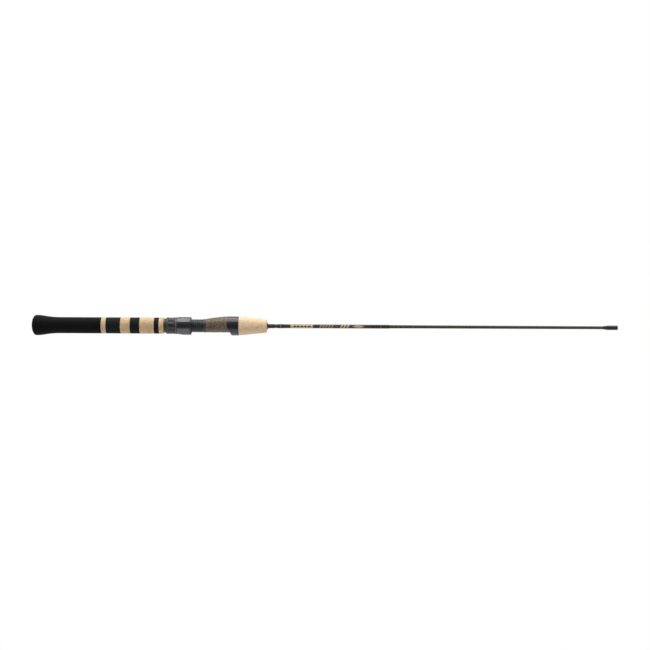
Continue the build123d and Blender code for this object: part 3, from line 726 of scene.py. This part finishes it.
# The blank is a hollow tube with its socket, so its inside is the CAD node's own.
outside = np.stack(dense_line(*outer_line("blank"), BLANK_STEP), axis=1)
inside = np.stack(envelope("blank", np.min), axis=1)[::-1]
blank = turned_mesh("blank_skin", np.concatenate([outside, inside]), FINE_AROUND)
dress(blank, "blank_carbon", "rod", ["blank"])

places, radii = outer_line("label_coat")
outside = np.stack(dense_line(places, radii, COAT_STEP), axis=1)
inside = inner_line(places[0], places[-1])
coat = turned_mesh("label_coat_skin", np.concatenate([outside, inside]), FINE_AROUND)
dress(coat, "label_coat", "rod", ["label_coat"])

# --------------------------------------------------------------------------------------------------
# CAD nodes that keep their shape
# --------------------------------------------------------------------------------------------------
CARRIED = {
    "seat_barrel": "seat_nylon", "seat_arbor_1": "arbor_foam", "seat_arbor_2": "arbor_foam",
    "seat_arbor_3": "arbor_foam", "lock_nut": "nut_nylon", "nut_retainer": "spring_steel",
    "sliding_hood": "hood_metal", "sliding_hood_liner": "liner_plastic",
    "burl_insert": "burl_cork", "fixed_hood": "hood_gloss", "hood_trim_ring": "trim_ring_gloss",
    "winding_check": "check_aluminium", "trim_band_1": "trim_brown",
    "trim_band_2": "trim_thread", "trim_band_3": "trim_brown", "ferrule_trim": "trim_brown",
}
for name, finish in CARRIED.items():
    carried = nodes[name]
    if not carried.material_slots:
        carried.data.materials.append(None)
    for held in carried.material_slots:
        held.material = finishes[finish]


# --------------------------------------------------------------------------------------------------
# Plain ornament on the coated length: a panel, lozenges, bars and a leaf, all on the camera's side
# --------------------------------------------------------------------------------------------------
coat_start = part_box("label_coat")[0].x


def whole(u):
    """The full half height all along."""
    return 1.0


def lozenge(u):
    """Share of the half height along a lozenge."""
    return max(0.0, 1 - abs(2 * u - 1))


def leaf(u):
    """Share of the half height along a long leaf."""
    return math.sin(math.pi * min(1.0, max(0.0, u))) ** 0.75


def mark(name, start, end, half_height, finish, shape=whole, slant=0.0, lift=0.0):
    """Thin curved plate on the coat.

    half_height and slant are measured round the blank. shape gives the half height's share at u
    from 0 at the rear to 1 at the front, and lift raises the plate over another.
    """
    outline = outer_line("label_coat")
    columns = max(4, int((end - start) / MARK_STEP))
    spots = []
    for proud in (MARK_PROUD + lift, -MARK_SUNK):
        for i in range(columns + 1):
            u = i / columns
            half = max(half_height * shape(u), MARK_THINNEST)
            for j in range(MARK_ROWS + 1):
                v = 2 * j / MARK_ROWS - 1
                x = start + u * (end - start) + slant * v
                r = float(np.interp(x, *outline)) + proud
                turn = math.pi - half * v / r
                spots.append((x, r * math.cos(turn), r * math.sin(turn)))
    row = MARK_ROWS + 1
    layer = (columns + 1) * row
    faces = []
    for i in range(columns):
        for j in range(MARK_ROWS):
            a = i * row + j
            b = a + row
            faces.append((a, b, b + 1, a + 1))
            faces.append((layer + a, layer + a + 1, layer + b + 1, layer + b))
    rim = list(range(row)) + [i * row + MARK_ROWS for i in range(1, columns + 1)]
    rim += [columns * row + j for j in range(MARK_ROWS - 1, -1, -1)]
    rim += [i * row for i in range(columns - 1, 0, -1)]
    for a, b in zip(rim, rim[1:] + rim[:1]):
        faces.append((a, b, layer + b, layer + a))
    mesh = bpy.data.meshes.new(name)
    mesh.from_pydata(spots, [], faces)
    mesh.polygons.foreach_set("use_smooth", np.ones(len(faces), bool))
    mesh.set_sharp_from_angle(angle=MARK_SHARP_ANGLE)
    return dress(in_scene(name, mesh), finish)


def mark_row(name, count, first, pitch, length, half_height, finish, **more):
    """Row of equal marks. first is from the coat's rear end, and all lengths are in millimetres."""
    for number in range(count):
        start = coat_start + (first + pitch * number) * MM
        end = start + length * MM
        mark(f"{name}_{number + 1}", start, end, half_height * MM, finish, **more)


mark("panel_gold", coat_start + 10.0 * MM, coat_start + 45.0 * MM, 2.5 * MM, "mark_gold")
mark_row("panel_lozenge", 5, 14.2, 5.6, 5.0, 1.9, "mark_dark", shape=lozenge, lift=LOZENGE_LIFT)
mark_row("bronze_bar", 5, 55.5, 4.6, 2.9, 2.0, "mark_bronze", slant=0.8 * MM)
mark_row("small_lozenge", 2, 79.3, 2.7, 1.9, 0.9, "mark_bronze", shape=lozenge)
mark_row("gold_bar", 3, 88.0, 5.0, 3.0, 2.2, "mark_gold", slant=1.1 * MM)
mark("gold_leaf", coat_start + 106.3 * MM, coat_start + 125.5 * MM, 1.9 * MM, "mark_gold",
     shape=leaf)


# --------------------------------------------------------------------------------------------------
# Studio
# --------------------------------------------------------------------------------------------------
def area_lamp(name, size, radiance, location):
    """Rectangular lamp that gives the same radiance whatever its size."""
    data = bpy.data.lights.new(name, "AREA")
    data.shape = "RECTANGLE"
    data.size, data.size_y = size
    data.energy = radiance * math.pi * size[0] * size[1]
    lamp = in_scene(name, data)
    lamp.location = location
    return lamp


scene = bpy.context.scene
middle = (cad_low + cad_high) / 2

# The floor fades out towards its edges.
floor_material, tree, shader = material("studio_floor")
floor_tone = noise(tree, place(tree), 0.5, 2)
finish_shader(
    tree, shader, Base_Color=two_tone(tree, floor_tone, (0.80, 0.80, 0.80), (0.84, 0.84, 0.84)),
    Roughness=0.9, Specular_IOR_Level=0.1, Emission_Color=(1.0, 1.0, 1.0),
    Emission_Strength=FLOOR_GLOW)
spread = add(tree, "ShaderNodeTexCoord").outputs["Object"]
from_middle = add(tree, "ShaderNodeVectorMath", {"operation": "LENGTH"}, at_0=spread)
fade = remap(tree, from_middle.outputs["Value"], *FLOOR_FADE, 0.0, 1.0)
clear = add(tree, "ShaderNodeBsdfTransparent")
faded = add(tree, "ShaderNodeMixShader", at_0=fade, at_1=shader.outputs[0], at_2=clear.outputs[0])
add(tree, "ShaderNodeOutputMaterial", Surface=faded.outputs[0]).is_active_output = True
bpy.ops.mesh.primitive_plane_add(size=1, location=(middle.x, 0, -FLOOR_DROP))
floor = bpy.context.object
floor.name = "studio_floor"
floor.scale = (*FLOOR_SIZE, 1)
floor.data.materials.append(floor_material)
floor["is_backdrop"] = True

area_lamp("softbox", SOFTBOX_SIZE, SOFTBOX_RADIANCE, (middle.x, SOFTBOX_SHIFT, SOFTBOX_HEIGHT))
for side in (-1, 1):
    spot = Vector((middle.x + side * SIDE_PLACE[0], SIDE_PLACE[1], SIDE_PLACE[2]))
    panel = area_lamp(f"side_panel_{side + 1}", SIDE_SIZE, SIDE_RADIANCE, spot)
    aim = Vector((middle.x, 0, 0)) - spot
    panel.rotation_euler = aim.to_track_quat("-Z", "Y").to_euler()

# The world is white where the camera sees it, and lights the piece from a grey gradient.
world = bpy.data.worlds.new("studio")
world.use_nodes = True
scene.world = world
tree = world.node_tree
tree.nodes.clear()
direction = add(tree, "ShaderNodeTexCoord").outputs["Generated"]
height = add(tree, "ShaderNodeSeparateXYZ", Vector=direction).outputs["Z"]
slope = math_node(tree, "ABSOLUTE", height)
glow = remap(tree, slope, *WORLD_SLOPE, WORLD_HORIZON, WORLD_TOP)
lit = add(tree, "ShaderNodeBackground", Color=(1, 1, 1, 1), Strength=glow)
seen = add(tree, "ShaderNodeBackground", Color=(1, 1, 1, 1), Strength=1.0)
ray = add(tree, "ShaderNodeLightPath").outputs["Is Camera Ray"]
mixed = add(tree, "ShaderNodeMixShader", at_0=ray, at_1=lit.outputs[0], at_2=seen.outputs[0])
add(tree, "ShaderNodeOutputWorld", Surface=mixed.outputs[0])

scene.view_settings.view_transform = "Standard"
camera_data = bpy.data.cameras.new("camera")
camera_data.lens = CAMERA_LENS
camera_data.sensor_width = CAMERA_SENSOR
camera = in_scene("camera", camera_data)
camera.location = (middle.x, -CAMERA_DISTANCE, CAMERA_RISE)
camera.rotation_euler = (math.pi / 2, CAMERA_ROLL, 0)
scene.camera = camera

low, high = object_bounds()
